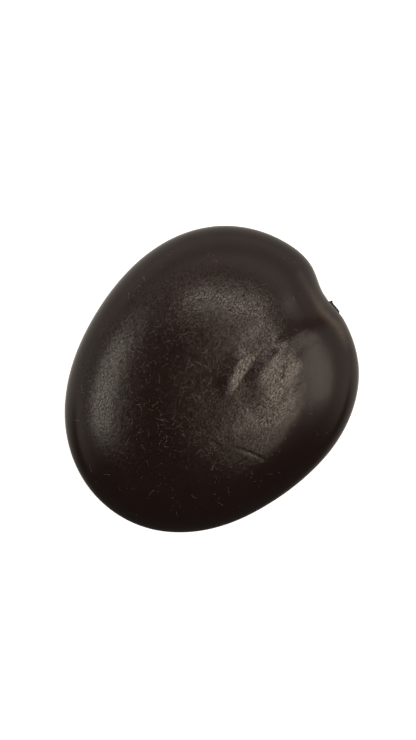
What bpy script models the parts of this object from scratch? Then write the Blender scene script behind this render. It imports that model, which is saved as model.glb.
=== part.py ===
"""A sea heart, the large woody seed of an Entada vine, built as the separate tissues it comes apart into.

Metres, +Z up. The seed lies on one broad face: the origin is the middle of its box, at the height of
whatever it rests on, +Y runs along its length and its hilum notch is at the +Y end.
"""

import math

import bmesh
import bpy
from mathutils import Matrix, Vector

MM = 0.001

# Overall size
LENGTH = 54.0 * MM
WIDTH = 45.8 * MM
THICKNESS = 18.0 * MM
RIM_BELOW_MIDDLE = 0.2 * MM  # how far the widest line lies below half the thickness
REST_RADIUS = 5.0 * MM  # flat spot that the seed lies on
CROWN_OFFSET = Vector((-3.0, -1.5)) * MM  # highest point of the upper face, from the middle
SHOULDER = 2.5  # 2 makes each face an ellipse in section, and more makes it flatter with a fuller rim

# Outline: gentle waves on an oval, each (lobes, share of the radius, direction of a lobe in degrees)
OUTLINE_WAVES = ((1, 0.026, 132.0), (2, 0.0085, 50.0), (3, 0.025, 20.0), (4, 0.0095, 35.0))
# Dips in the rim, each (degrees round from +X, depth, half width along the rim)
HILUM_NOTCH = (75.4, 1.55 * MM, 4.3 * MM)
NOTCH_SHOULDER = (62.5, 0.85 * MM, 6.9 * MM)

# Layers, from the outside in
GAP = 0.3 * MM  # clearance between neighbouring pieces
HARD_COAT = 0.8 * MM
SPONGY_RIM = 2.0 * MM  # spongy layer at the rim, where it carries the strand
SPONGY_FACE = 1.1 * MM
INNER_SKIN = 0.3 * MM

# Hilum, the scar where the stalk enters
HILUM_AT = 68.0  # degrees round from +X
STALK_HALF = Vector((1.35, 0.45)) * MM  # half width along the rim and half height
STALK_STANDS_OUT = 0.5 * MM
STALK_CHAMFER = 0.15 * MM
CUSHION_WALL = 0.45 * MM
CUSHION_RECESS = 0.2 * MM

# Strand of vessels that feeds the seed, laid in a groove round the spongy layer
STRAND_RADIUS = 0.4 * MM
STRAND_STEP = 2.6 * MM
MICROPYLE_FROM_HILUM = -10.0  # degrees
MICROPYLE_RADIUS = 0.35 * MM
STRAND_STOPS_SHORT = 6.0  # degrees before the micropyle

# Kernel
CONTACT_BAND = 6.0 * MM  # width over which the two seed leaves meet
HOLLOW_HEIGHT = 2.2 * MM  # of the air space, in each seed leaf
AXIS_LENGTH = 6.6 * MM
AXIS_RADIUS = 1.3 * MM
STALKLET_RADIUS = 0.55 * MM  # joins the axis to each seed leaf
STALKLET_REACH = 1.0 * MM  # how far it enters the seed leaf
STALKLET_AT = 0.72  # share of the axis, from the root tip
BUD_LENGTH = 2.8 * MM
BUD_RADIUS = 0.6 * MM
LEAF_LENGTH = 3.4 * MM
LEAF_HALF = Vector((0.22, 0.7)) * MM  # half thickness and half width
LEAF_SPREAD = 16.0  # degrees from the axis

# Mesh density
COAT_SEGMENTS = 64
LAYER_SEGMENTS = 44  # every skin under the outermost, so that neighbours keep an even gap
FACE_ROWS = 7
HOLLOW_ROWS = 6
AXIS_ROWS = 12
BUD_ROWS = 7
CROWDING = 0.45  # how much closer the segments stand at the notch
OUTLINE_SAMPLES = 720
ROD_SEGMENTS = 16
OVAL_SEGMENTS = 24
PIN_SEGMENTS = 12
SHARPER_THAN = 40.0  # degrees; edges sharper than this aren't shaded smooth

RIM_HEIGHT = THICKNESS / 2 - RIM_BELOW_MIDDLE

# Depths below the seed's surface, (at the rim, at the faces), where each layer begins and ends
COAT_OUTSIDE = (0.0, 0.0)
COAT_INSIDE = (HARD_COAT, HARD_COAT)
SPONGY_OUTSIDE = (HARD_COAT + GAP, HARD_COAT + GAP)
SPONGY_INSIDE = (SPONGY_OUTSIDE[0] + SPONGY_RIM, SPONGY_OUTSIDE[1] + SPONGY_FACE)
SKIN_OUTSIDE = (SPONGY_INSIDE[0] + GAP, SPONGY_INSIDE[1] + GAP)
SKIN_INSIDE = (SKIN_OUTSIDE[0] + INNER_SKIN, SKIN_OUTSIDE[1] + INNER_SKIN)
KERNEL = (SKIN_INSIDE[0] + GAP, SKIN_INSIDE[1] + GAP)
GROOVE_DEPTH = 2 * STRAND_RADIUS + GAP
GROOVE_HALF = STRAND_RADIUS + GAP

HILUM_FLOOR = -(SPONGY_OUTSIDE[0] - GAP)  # inner end of the hilum's pieces
MICROPYLE_AT = HILUM_AT + MICROPYLE_FROM_HILUM
AXIS_FROM = -(KERNEL[0] + GAP)  # the root tip, measured from the rim at the micropyle
BUD_FROM = AXIS_FROM - AXIS_LENGTH - GAP
CLEARANCE = Vector((GAP, GAP))
CUSHION_INNER = STALK_HALF + CLEARANCE
CUSHION_OUTER = CUSHION_INNER + Vector((CUSHION_WALL, CUSHION_WALL))
SLOT_HALF = CUSHION_OUTER + CLEARANCE


# ---------------------------------------------------------------- outline and faces


def wrapped(angle):
    """The same direction, between minus and plus half a turn."""
    return math.atan2(math.sin(angle), math.cos(angle))


def oval_radius(angle):
    return 1.0 / math.hypot(math.cos(angle) / (WIDTH / 2), math.sin(angle) / (LENGTH / 2))


def dip(angle, at, depth, half_width):
    """How far a smooth dip in the rim reaches in at this direction."""
    centre = math.radians(at)
    spread = half_width / oval_radius(centre)
    return depth * math.exp(-((wrapped(angle - centre) / spread) ** 2))


def free_rim(angle):
    """The rim's shape before it is fitted to LENGTH and WIDTH."""
    fullness = 1.0
    for lobes, share, toward in OUTLINE_WAVES:
        fullness += share * math.cos(lobes * (angle - math.radians(toward)))
    radius = oval_radius(angle) * fullness
    radius -= dip(angle, *HILUM_NOTCH) + dip(angle, *NOTCH_SHOULDER)
    return Vector((radius * math.cos(angle), radius * math.sin(angle)))


def rim_fit():
    """The middle of the free outline's box, and the scale that brings it to WIDTH by LENGTH."""
    points = [free_rim(2 * math.pi * i / OUTLINE_SAMPLES) for i in range(OUTLINE_SAMPLES)]
    low = Vector([min(p[k] for p in points) for k in (0, 1)])
    high = Vector([max(p[k] for p in points) for k in (0, 1)])
    size = high - low
    return (low + high) / 2, Vector((WIDTH / size.x, LENGTH / size.y))


RIM_MIDDLE, RIM_SCALE = rim_fit()


def rim_point(angle, depth=0.0):
    """A point on the rim in plan, or that depth inside it."""
    point = (free_rim(angle) - RIM_MIDDLE) * RIM_SCALE
    return point * (1.0 - depth / point.length)


def rim_angles(count):
    """Directions round the seed, starting at the notch and closest together there."""
    start = math.radians(HILUM_NOTCH[0])
    turns = [2 * math.pi * i / count for i in range(count)]
    return [start + turn - CROWDING * math.sin(turn) for turn in turns]


def seed_point(angle, latitude, depths):
    """A point of the seed's surface, or of a layer at these depths; latitude is 0 at the rim."""
    rim_depth, face_depth = depths
    edge = rim_point(angle, rim_depth)
    reach = math.cos(latitude) ** (2.0 / SHOULDER)
    if latitude >= 0:
        plan = CROWN_OFFSET.lerp(edge, reach)
        rise = THICKNESS - RIM_HEIGHT - face_depth
    else:
        plan = (edge.normalized() * REST_RADIUS).lerp(edge, reach)
        rise = RIM_HEIGHT - face_depth
    return Vector((plan.x, plan.y, RIM_HEIGHT + rise * math.sin(latitude)))


def ring(angles, latitude, depths):
    return [seed_point(angle, latitude, depths) for angle in angles]


def level_ring(angles, depth, height):
    """A ring that keeps one height, at this depth inside the rim."""
    points = [rim_point(angle, depth) for angle in angles]
    return [Vector((p.x, p.y, height)) for p in points]


def face_rings(angles, depths, rows, side):
    """Rings of one face, from beside the rim to its middle; side is 1 for the upper face."""
    quarter = math.pi / 2
    last = rows if side > 0 else rows + 1  # the lower face ends in the ring of its flat spot
    return [ring(angles, side * quarter * i / rows, depths) for i in range(1, last)]


def tips(depths):
    """The middles of the upper and lower faces."""
    top = Vector((CROWN_OFFSET.x, CROWN_OFFSET.y, THICKNESS - depths[1]))
    return top, Vector((0.0, 0.0, depths[1]))


# ---------------------------------------------------------------- mesh and object helpers


def skin_rings(mesh, rings, first_tip, last_tip, inward=False):
    """Joins rings, listed from the top down, into one closed skin."""
    rows = [[mesh.verts.new(point) for point in points] for points in rings]
    first, last = mesh.verts.new(first_tip), mesh.verts.new(last_tip)
    count = len(rows[0])
    faces = []
    for i in range(count):
        j = (i + 1) % count
        faces.append((first, rows[0][i], rows[0][j]))
        faces.append((last, rows[-1][j], rows[-1][i]))
        for above, below in zip(rows, rows[1:]):
            faces.append((above[i], below[i], below[j], above[j]))
    for corners in faces:
        mesh.faces.new(reversed(corners) if inward else corners)


def placed(mesh, name, parent):
    """Turns a bmesh into a named object under its parent."""
    data = bpy.data.meshes.new(name)
    mesh.to_mesh(data)
    mesh.free()
    made = bpy.data.objects.new(name, data)
    made.parent = parent
    bpy.context.scene.collection.objects.link(made)
    return made


def finish(mesh, name, material, parent=None):
    """One of the seed's pieces, shaded smooth, with its material."""
    made = placed(mesh, name, parent)
    made.data.shade_smooth()
    made.data.set_sharp_from_angle(angle=math.radians(SHARPER_THAN))
    made.data.materials.append(material)
    return made


def cutter(mesh, name, parent):
    """A helper for the Booleans, left out of renders."""
    made = placed(mesh, name, parent)
    made.hide_render = True
    made.display_type = "WIRE"
    return made


def boolean(target, other, operation="DIFFERENCE"):
    modifier = target.modifiers.new(operation.lower() + "_" + other.name, "BOOLEAN")
    modifier.operation = operation
    modifier.solver = "EXACT"
    modifier.object = other


def finish_material(name, colour, roughness):
    material = bpy.data.materials.new(name)
    material.use_nodes = True
    shader = material.node_tree.nodes["Principled BSDF"]
    shader.inputs["Base Color"].default_value = (*colour, 1.0)
    shader.inputs["Roughness"].default_value = roughness
    shader.inputs["Metallic"].default_value = 0.0
    return material


def rim_empty(name, degrees):
    """An empty on the rim: its +Y points straight out of the seed and its +Z up."""
    angle = math.radians(degrees)
    step = math.radians(1.0)
    along = rim_point(angle + step) - rim_point(angle - step)
    place = rim_point(angle)
    made = bpy.data.objects.new(name, None)
    made.empty_display_size = LENGTH / 20
    made.location = (place.x, place.y, RIM_HEIGHT)
    made.rotation_euler.z = math.atan2(along.y, along.x) - math.pi
    bpy.context.scene.collection.objects.link(made)
    return made


def oval_points(y, half_width, half_height, shift, segments):
    """An oval across Y."""
    turns = [2 * math.pi * i / segments for i in range(segments)]
    return [
        Vector((shift + half_width * math.cos(turn), y, half_height * math.sin(turn)))
        for turn in turns
    ]


def oval_rod(mesh, sections, segments=ROD_SEGMENTS):
    """A closed rod along Y through sections of (y, half width, half height, sideways shift)."""
    rings = [oval_points(*section, segments) for section in sections]
    ends = [sum(points, Vector()) / segments for points in (rings[0], rings[-1])]
    skin_rings(mesh, rings, *ends)
    bmesh.ops.recalc_face_normals(mesh, faces=mesh.faces)


def round_rod(mesh, profile, segments=ROD_SEGMENTS):
    """The same with round sections, from (y, radius) pairs."""
    oval_rod(mesh, [(y, radius, radius, 0.0) for y, radius in profile], segments)


# ---------------------------------------------------------------- layers of the coat


def layer_rings(angles, depths):
    """Plain rings from the top of a layer to its bottom."""
    upper = face_rings(angles, depths, FACE_ROWS, side=1)
    lower = face_rings(angles, depths, FACE_ROWS, side=-1)
    return upper[::-1] + [ring(angles, 0.0, depths)] + lower


def grooved_rings(angles, depths):
    """The same with a square groove round the rim for the strand."""
    rings = layer_rings(angles, depths)
    floor = depths[0] + GROOVE_DEPTH
    top, bottom = RIM_HEIGHT + GROOVE_HALF, RIM_HEIGHT - GROOVE_HALF
    corners = ((depths[0], top), (floor, top), (floor, bottom), (depths[0], bottom))
    groove = [level_ring(angles, depth, height) for depth, height in corners]
    return rings[: FACE_ROWS - 1] + groove + rings[FACE_ROWS:]


def coat_layer(name, outside, inside, material, segments=LAYER_SEGMENTS, rings=layer_rings):
    """A hollow layer between two depths."""
    mesh = bmesh.new()
    skin_rings(mesh, rings(rim_angles(segments), outside), *tips(outside))
    skin_rings(mesh, layer_rings(rim_angles(LAYER_SEGMENTS), inside), *tips(inside), inward=True)
    return finish(mesh, name, material)


def slot_cutter(hilum):
    """Cuts the hilum's oval slot through the hard coat."""
    reach = HARD_COAT * 3
    mesh = bmesh.new()
    sections = [(y, SLOT_HALF.x, SLOT_HALF.y, 0.0) for y in (-reach, reach)]
    oval_rod(mesh, sections, OVAL_SEGMENTS)
    return cutter(mesh, "slot_cutter", hilum)


def micropyle_cutter(micropyle):
    """A pin through all three layers, down to the root tip."""
    mesh = bmesh.new()
    reach = KERNEL[0] + GAP
    sections = [(y, MICROPYLE_RADIUS, MICROPYLE_RADIUS, 0.0) for y in (-reach, reach)]
    oval_rod(mesh, sections, PIN_SEGMENTS)
    return cutter(mesh, "micropyle_cutter", micropyle)


# ---------------------------------------------------------------- hilum pieces


def funicle_stub(hilum, material):
    """The broken stalk: it fills the slot, then narrows to a torn tip that leans to one side."""
    half = STALK_HALF
    out = STALK_STANDS_OUT
    mesh = bmesh.new()
    oval_rod(mesh, [
        (HILUM_FLOOR, half.x * 0.85, half.y * 0.85, 0.0),
        (HILUM_FLOOR + STALK_CHAMFER, half.x, half.y, 0.0),
        (-CUSHION_RECESS, half.x, half.y, 0.0),
        (out * 0.4, half.x * 0.72, half.y * 0.85, half.x * -0.22),
        (out * 0.8, half.x * 0.40, half.y * 0.66, half.x * -0.42),
        (out, half.x * 0.24, half.y * 0.40, half.x * -0.46),
    ])
    return finish(mesh, "funicle_stub", material, hilum)


def hilum_cushion(hilum, material):
    """The corky ring between the stalk and the slot, with a small bevel on its four edges."""
    bevel = CUSHION_WALL / 5
    edge = Vector((bevel, bevel))
    outer, inner = CUSHION_OUTER, CUSHION_INNER
    low, high = HILUM_FLOOR, -CUSHION_RECESS
    section = (
        (low, outer - edge), (low + bevel, outer), (high - bevel, outer), (high, outer - edge),
        (high, inner + edge), (high - bevel, inner), (low + bevel, inner), (low, inner + edge),
    )
    mesh = bmesh.new()
    rows = []
    for y, half in section:
        oval = oval_points(y, half.x, half.y, 0.0, OVAL_SEGMENTS)
        rows.append([mesh.verts.new(point) for point in oval])
    for this, following in zip(rows, rows[1:] + rows[:1]):
        for i in range(OVAL_SEGMENTS):
            j = (i + 1) % OVAL_SEGMENTS
            mesh.faces.new((this[i], this[j], following[j], following[i]))
    bmesh.ops.recalc_face_normals(mesh, faces=mesh.faces)
    return finish(mesh, "hilum_cushion", material, hilum)


def raphe_strand(material):
    """From under the stalk, round the far side of the rim, and nearly back to the micropyle."""
    start = math.radians(HILUM_AT)
    stop = math.radians(MICROPYLE_AT + 360.0 - STRAND_STOPS_SHORT)
    depth = SPONGY_OUTSIDE[0] + STRAND_RADIUS
    around = math.pi * (LENGTH + WIDTH) / 2
    count = round(around / STRAND_STEP)
    curve = bpy.data.curves.new("raphe_strand", "CURVE")
    curve.dimensions = "3D"
    curve.bevel_depth = STRAND_RADIUS
    curve.bevel_resolution = 2
    curve.use_fill_caps = True
    spline = curve.splines.new("POLY")
    spline.points.add(count)
    for i, point in enumerate(spline.points):
        plan = rim_point(start + (stop - start) * i / count, depth)
        point.co = (plan.x, plan.y, RIM_HEIGHT, 1.0)
    curve.materials.append(material)
    made = bpy.data.objects.new("raphe_strand", curve)
    bpy.context.scene.collection.objects.link(made)
    return made


# ---------------------------------------------------------------- kernel


def hollow_rings(angles, side):
    """The air space's roof in one seed leaf, from its edge to near its middle."""
    rings = []
    for i in range(HOLLOW_ROWS):
        inward = i / HOLLOW_ROWS
        rise = GAP / 2 + HOLLOW_HEIGHT * (1.0 - (1.0 - inward) ** 2) ** 0.6
        edge = [rim_point(angle, KERNEL[0] + CONTACT_BAND) for angle in angles]
        height = RIM_HEIGHT + side * rise
        rings.append([Vector((*(point * (1.0 - inward)), height)) for point in edge])
    return rings


def seed_leaf(name, side, material, cutters):
    """One half of the kernel: domed outside, flat where the halves meet, hollow in the middle."""
    angles = rim_angles(LAYER_SEGMENTS)
    outside = face_rings(angles, KERNEL, FACE_ROWS, side)
    meeting = level_ring(angles, KERNEL[0], RIM_HEIGHT + side * GAP / 2)
    outer_tip = tips(KERNEL)[0 if side > 0 else 1]
    hollow_tip = Vector((0.0, 0.0, RIM_HEIGHT + side * (GAP / 2 + HOLLOW_HEIGHT)))
    mesh = bmesh.new()
    skin_rings(mesh, outside[::-1] + [meeting] + hollow_rings(angles, side), outer_tip, hollow_tip)
    bmesh.ops.recalc_face_normals(mesh, faces=mesh.faces)
    made = finish(mesh, name, material)
    for helper in cutters:
        boolean(made, helper)
    return made


def axis_profile():
    """(y, radius) pairs of the embryo's axis: a blunt root tip outermost, then a slow taper."""
    pairs = []
    for i in range(AXIS_ROWS + 1):
        along = min(max(i / AXIS_ROWS, 0.03), 0.97)
        nose = math.sqrt(1.0 - (1.0 - min(along / 0.4, 1.0)) ** 2)
        tail = math.sqrt(1.0 - max((along - 0.9) / 0.1, 0.0) ** 2)
        taper = 1.0 - 0.28 * max(along - 0.4, 0.0)
        pairs.append((AXIS_FROM - along * AXIS_LENGTH, AXIS_RADIUS * nose * tail * taper))
    return pairs


def upright_pin(name, parent, grow=0.0):
    """A pin through the axis; its ends stand in the two seed leaves."""
    place = Matrix.Translation((0.0, AXIS_FROM - AXIS_LENGTH * STALKLET_AT, 0.0))
    radius = STALKLET_RADIUS + grow
    height = 2 * (AXIS_RADIUS + STALKLET_REACH + grow)
    mesh = bmesh.new()
    bmesh.ops.create_cone(
        mesh, cap_ends=True, segments=PIN_SEGMENTS, radius1=radius, radius2=radius, depth=height,
        matrix=place,
    )
    return cutter(mesh, name, parent)


def embryo_axis(micropyle, material):
    """The root tip and stem of the embryo, with the two stalklets that hold the seed leaves."""
    mesh = bmesh.new()
    round_rod(mesh, axis_profile())
    made = finish(mesh, "embryo_axis", material, micropyle)
    boolean(made, upright_pin("stalklets", micropyle), "UNION")
    return made


def kernel_cutters(micropyle):
    """Room in both seed leaves for the axis, its stalklets, and the bud with its leaves."""
    radius = AXIS_RADIUS + GAP
    mesh = bmesh.new()
    round_rod(mesh, [(BUD_FROM, radius), (-(KERNEL[0] - GAP), radius)])
    channel = cutter(mesh, "axis_channel", micropyle)

    half = Vector((LEAF_LENGTH * 0.55, LEAF_LENGTH * 0.8, LEAF_HALF.y + 2 * GAP))
    middle = Matrix.Translation((0.0, BUD_FROM - LEAF_LENGTH * 0.45, 0.0))
    mesh = bmesh.new()
    bmesh.ops.create_uvsphere(
        mesh, u_segments=16, v_segments=8, radius=1.0, matrix=middle @ Matrix.Diagonal((*half, 1.0))
    )
    chamber = cutter(mesh, "bud_chamber", micropyle)
    return channel, chamber, upright_pin("stalklet_sockets", micropyle, grow=GAP)


def plumule_bud(micropyle, material):
    """The shoot's growing point, just beyond the axis."""
    profile = []
    for i in range(BUD_ROWS + 1):
        along = min(max(i / BUD_ROWS, 0.04), 0.98)
        width = math.sin(math.pi * along ** 0.6) ** 0.7
        profile.append((BUD_FROM - along * BUD_LENGTH, BUD_RADIUS * width))
    mesh = bmesh.new()
    round_rod(mesh, profile, PIN_SEGMENTS)
    return finish(mesh, "plumule_bud", material, micropyle)


def first_leaf(name, side, micropyle, material):
    """One of the two first leaves: a thin blade beside the bud, widest in the middle."""
    mesh = bmesh.new()
    bmesh.ops.create_uvsphere(mesh, u_segments=PIN_SEGMENTS, v_segments=10, radius=1.0)
    for vertex in mesh.verts:
        x, y, z = vertex.co
        narrowing = 1.0 - 0.35 * abs(y)
        vertex.co = (x * LEAF_HALF.x, y * LEAF_LENGTH / 2, z * LEAF_HALF.y * narrowing)
    lean = math.radians(LEAF_SPREAD)
    beside = BUD_RADIUS + GAP + LEAF_HALF.x + math.sin(lean) * LEAF_LENGTH * 0.3
    made = finish(mesh, name, material, micropyle)
    made.location = (side * beside, BUD_FROM - LEAF_LENGTH / 2, 0.0)
    made.rotation_euler.z = side * lean
    return made


# ---------------------------------------------------------------- the seed


def main():
    for old in list(bpy.data.objects):
        bpy.data.objects.remove(old)

    coat_brown = finish_material("coat_brown", (0.022, 0.014, 0.011), 0.38)
    spongy_tan = finish_material("spongy_tan", (0.36, 0.21, 0.11), 0.85)
    skin_buff = finish_material("skin_buff", (0.50, 0.34, 0.20), 0.60)
    kernel_cream = finish_material("kernel_cream", (0.72, 0.62, 0.42), 0.55)
    embryo_ivory = finish_material("embryo_ivory", (0.76, 0.68, 0.45), 0.50)
    stalk_black = finish_material("stalk_black", (0.020, 0.012, 0.009), 0.75)
    cushion_cork = finish_material("cushion_cork", (0.10, 0.058, 0.035), 0.90)
    strand_fibre = finish_material("strand_fibre", (0.28, 0.17, 0.09), 0.80)

    hilum = rim_empty("hilum", HILUM_AT)
    micropyle = rim_empty("micropyle", MICROPYLE_AT)

    hard_coat = coat_layer("hard_coat", COAT_OUTSIDE, COAT_INSIDE, coat_brown, COAT_SEGMENTS)
    spongy = coat_layer(
        "spongy_coat", SPONGY_OUTSIDE, SPONGY_INSIDE, spongy_tan, rings=grooved_rings
    )
    skin = coat_layer("inner_skin", SKIN_OUTSIDE, SKIN_INSIDE, skin_buff)
    boolean(hard_coat, slot_cutter(hilum))
    pin = micropyle_cutter(micropyle)
    for layer in (hard_coat, spongy, skin):
        boolean(layer, pin)

    funicle_stub(hilum, stalk_black)
    hilum_cushion(hilum, cushion_cork)
    raphe_strand(strand_fibre)

    cutters = kernel_cutters(micropyle)
    seed_leaf("upper_seed_leaf", 1, kernel_cream, cutters)
    seed_leaf("lower_seed_leaf", -1, kernel_cream, cutters)
    embryo_axis(micropyle, embryo_ivory)
    plumule_bud(micropyle, embryo_ivory)
    first_leaf("first_leaf_left", -1, micropyle, embryo_ivory)
    first_leaf("first_leaf_right", 1, micropyle, embryo_ivory)


main()
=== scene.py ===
# %% [markdown]
# # A sea heart, from its smooth solid to its wrinkled coat
#
# A sea heart is the seed of a tropical vine: a flat, heart-shaped disc as wide as a palm, with a
# hard coat that the sea can't wet. This lesson starts from the plain solids of its twelve pieces
# and makes what the eye needs: the leathery coat with its crease and keel, the torn stalk in its
# notch, the dust that clings to the wax, and the light that shows all of it.
#
# Lengths are in metres, as everywhere in Blender. MM turns millimetres into metres.

# %% Load the solids and measure them
import math
import random

import bmesh
import bpy
from mathutils import Euler, Matrix, Vector
from mathutils import noise as solid_noise


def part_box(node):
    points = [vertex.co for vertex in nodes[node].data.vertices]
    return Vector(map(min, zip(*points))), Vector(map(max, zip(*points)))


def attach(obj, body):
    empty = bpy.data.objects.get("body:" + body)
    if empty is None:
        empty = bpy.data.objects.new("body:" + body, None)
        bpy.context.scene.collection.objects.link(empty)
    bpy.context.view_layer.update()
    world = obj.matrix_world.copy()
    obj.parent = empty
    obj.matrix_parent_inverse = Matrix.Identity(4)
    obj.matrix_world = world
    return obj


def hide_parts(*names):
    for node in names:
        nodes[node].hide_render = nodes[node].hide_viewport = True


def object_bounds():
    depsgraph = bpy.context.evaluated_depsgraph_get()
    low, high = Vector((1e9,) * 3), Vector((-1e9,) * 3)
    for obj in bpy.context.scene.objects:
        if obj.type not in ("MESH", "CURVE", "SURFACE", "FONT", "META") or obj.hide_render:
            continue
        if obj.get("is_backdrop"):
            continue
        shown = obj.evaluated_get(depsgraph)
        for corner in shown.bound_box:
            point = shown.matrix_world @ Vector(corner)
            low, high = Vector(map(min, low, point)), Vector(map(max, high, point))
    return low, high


MM = 0.001
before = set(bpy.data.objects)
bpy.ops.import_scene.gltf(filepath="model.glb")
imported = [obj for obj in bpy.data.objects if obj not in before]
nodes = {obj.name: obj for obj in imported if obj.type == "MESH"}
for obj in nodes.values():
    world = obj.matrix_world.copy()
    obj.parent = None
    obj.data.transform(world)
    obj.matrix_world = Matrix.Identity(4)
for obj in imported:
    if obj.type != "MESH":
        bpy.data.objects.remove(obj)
CAD_BOX = [list(corner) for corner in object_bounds()]

coat_low, coat_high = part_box("hard_coat")
LENGTH = coat_high.y - coat_low.y
WIDTH = coat_high.x - coat_low.x
THICKNESS = coat_high.z
strand_low, strand_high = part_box("raphe_strand")
RIM_HEIGHT = (strand_low.z + strand_high.z) / 2
print(f"coat {WIDTH / MM:.1f} x {LENGTH / MM:.1f} x {THICKNESS / MM:.1f} mm")
print(f"rim at {RIM_HEIGHT / MM:.1f} mm")


# %% [markdown]
# ## Writing rules with nodes
#
# A rule such as "each face bulges like a flattened ellipse" is a short formula, but a long chain of
# Math nodes. The class below lets the script write the formula, and adds the nodes behind it. The
# same class serves Geometry Nodes and shaders, because both use the same Math node.

# %% A number inside a node tree
class Term:
    """A number that nodes work out, written with ordinary signs."""

    def __init__(self, tree, socket):
        self.tree = tree
        self.socket = socket


# Each ordinary sign, with the Term on either side of it, becomes a Math node
for sign, operation in (
    ("add", "ADD"), ("sub", "SUBTRACT"), ("mul", "MULTIPLY"), ("truediv", "DIVIDE"), ("pow", "POWER"),
):
    setattr(Term, f"__{sign}__", lambda self, other, kind=operation: calc(kind, self, other))
    setattr(Term, f"__r{sign}__", lambda self, other, kind=operation: calc(kind, other, self))


def give(tree, socket, value):
    """Fills a node's input from a Term, another socket, or a plain value."""
    value = value.socket if isinstance(value, Term) else value
    if isinstance(value, bpy.types.NodeSocket):
        tree.links.new(value, socket)
    else:
        socket.default_value = value


def node(tree, kind, inputs=None, **settings):
    """Adds a node with these settings, and fills its inputs by name or by number."""
    made = tree.nodes.new(kind)
    for name, value in settings.items():
        setattr(made, name, value)
    for key, value in (inputs or {}).items():
        give(tree, made.inputs[key], value)
    return made


def calc(operation, *values):
    """One Math node."""
    tree = next(value.tree for value in values if isinstance(value, Term))
    made = node(tree, "ShaderNodeMath", dict(enumerate(values)), operation=operation)
    return Term(tree, made.outputs[0])


def clamped(value, low=0.0, high=1.0):
    return calc("MINIMUM", calc("MAXIMUM", value, low), high)


def across_level(x, y):
    """The length of a vector that lies level."""
    return calc("SQRT", x * x + y * y)


def step(term, low, high, bottom=0.0, top=1.0):
    """A smooth rise from bottom to top as the term goes from low to high."""
    made = node(
        term.tree, "ShaderNodeMapRange", {0: term, 1: low, 2: high, 3: bottom, 4: top},
        interpolation_type="SMOOTHSTEP",
    )
    return Term(term.tree, made.outputs[0])


def bell(distance, half_width):
    """1 at no distance, falling smoothly to nothing at about two half widths."""
    share = distance / half_width
    return calc("EXPONENT", 0.0 - share * share)


def xyz(tree, vector):
    """The three parts of a vector."""
    parts = node(tree, "ShaderNodeSeparateXYZ", {0: vector})
    return [Term(tree, socket) for socket in parts.outputs]


def vector_of(tree, x, y, z):
    return node(tree, "ShaderNodeCombineXYZ", {0: x, 1: y, 2: z}).outputs[0]


def noise(tree, place, scale, detail=2.0, roughness=0.5, distortion=0.0):
    """Noise about 0, mostly between -0.3 and 0.3. The scale is in blobs per metre."""
    values = {
        "Vector": place, "Scale": scale, "Detail": detail, "Roughness": roughness,
        "Distortion": distortion,
    }
    return Term(tree, node(tree, "ShaderNodeTexNoise", values).outputs[0]) - 0.5


def stretched(tree, place, x, y, z):
    """The same place with each direction scaled, to stretch or squeeze a pattern."""
    made = node(tree, "ShaderNodeVectorMath", {0: place, 1: (x, y, z)}, operation="MULTIPLY")
    return made.outputs[0]


def scaled(tree, vector, factor):
    """The vector made longer or shorter by a factor."""
    made = node(tree, "ShaderNodeVectorMath", {0: vector, "Scale": factor}, operation="SCALE")
    return made.outputs[0]


def share_out(x, y):
    """How far out a place is: 0 in the middle and about 1 at the rim."""
    return across_level(x / (WIDTH / 2), y / (LENGTH / 2))


def new_group(name, kind, inputs, outputs):
    """A node group with named sockets. Returns the tree and its inputs as Terms, by name."""
    tree = bpy.data.node_groups.new(name, kind)
    for label, socket_kind, default in inputs:
        socket = tree.interface.new_socket(label, in_out="INPUT", socket_type="NodeSocket" + socket_kind)
        if default is not None:
            socket.default_value = default
    for label, socket_kind in outputs:
        tree.interface.new_socket(label, in_out="OUTPUT", socket_type="NodeSocket" + socket_kind)
    entry = tree.nodes.new("NodeGroupInput")
    return tree, {label: Term(tree, entry.outputs[label]) for label, _, _ in inputs}


def end_group(tree, **results):
    """Joins the results to the group's outputs, whose names have spaces for underscores."""
    leave = tree.nodes.new("NodeGroupOutput")
    for label, value in results.items():
        give(tree, leave.inputs[label.replace("_", " ")], value)


def end_geometry(tree, geometry, material):
    """Ends a geometry tree: turns instances into real geometry and gives it its finish."""
    real = node(tree, "GeometryNodeRealizeInstances", {"Geometry": geometry})
    done = node(tree, "GeometryNodeSetMaterial", {"Geometry": real.outputs[0], "Material": material})
    end_group(tree, Geometry=done.outputs[0])
    print(f"{tree.name}: {len(tree.nodes)} nodes")


# %% Running a geometry tree
def link(made):
    bpy.context.scene.collection.objects.link(made)
    return made


def evaluated_mesh(made, name):
    """The object's mesh with every modifier applied."""
    graph = bpy.context.evaluated_depsgraph_get()
    mesh = bpy.data.meshes.new_from_object(made.evaluated_get(graph), depsgraph=graph)
    mesh.name = name
    return mesh


def grow(name, tree, values, start=None):
    """Runs a geometry tree on an object, and leaves a plain mesh named name."""
    made = link(bpy.data.objects.new(name, start or bpy.data.meshes.new(name)))
    modifier = made.modifiers.new(tree.name, "NODES")
    modifier.node_group = tree
    for item in tree.interface.items_tree:
        if item.in_out == "INPUT" and item.name in values:
            modifier[item.identifier] = values[item.name]
    result = evaluated_mesh(made, name)
    made.modifiers.clear()
    made.data = result
    triangles = sum(len(face.vertices) - 2 for face in result.polygons)
    print(f"{name}: {triangles} triangles")
    return made


# %% [markdown]
# ## The outline
#
# Seen from above, the seed is an oval pushed out of round by a few slow waves, with a notch where
# the stalk entered and a shallower dip beside it. A formula in the direction gives the whole
# outline, and a closed curve holds it, so that the next step can walk along it.

# %% Draw the rim as a curve
RIM_POINTS = 720
RIM_WAVES = ((1, 0.026, 132.0), (2, 0.0085, 50.0), (3, 0.025, 20.0), (4, 0.0095, 35.0))
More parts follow.
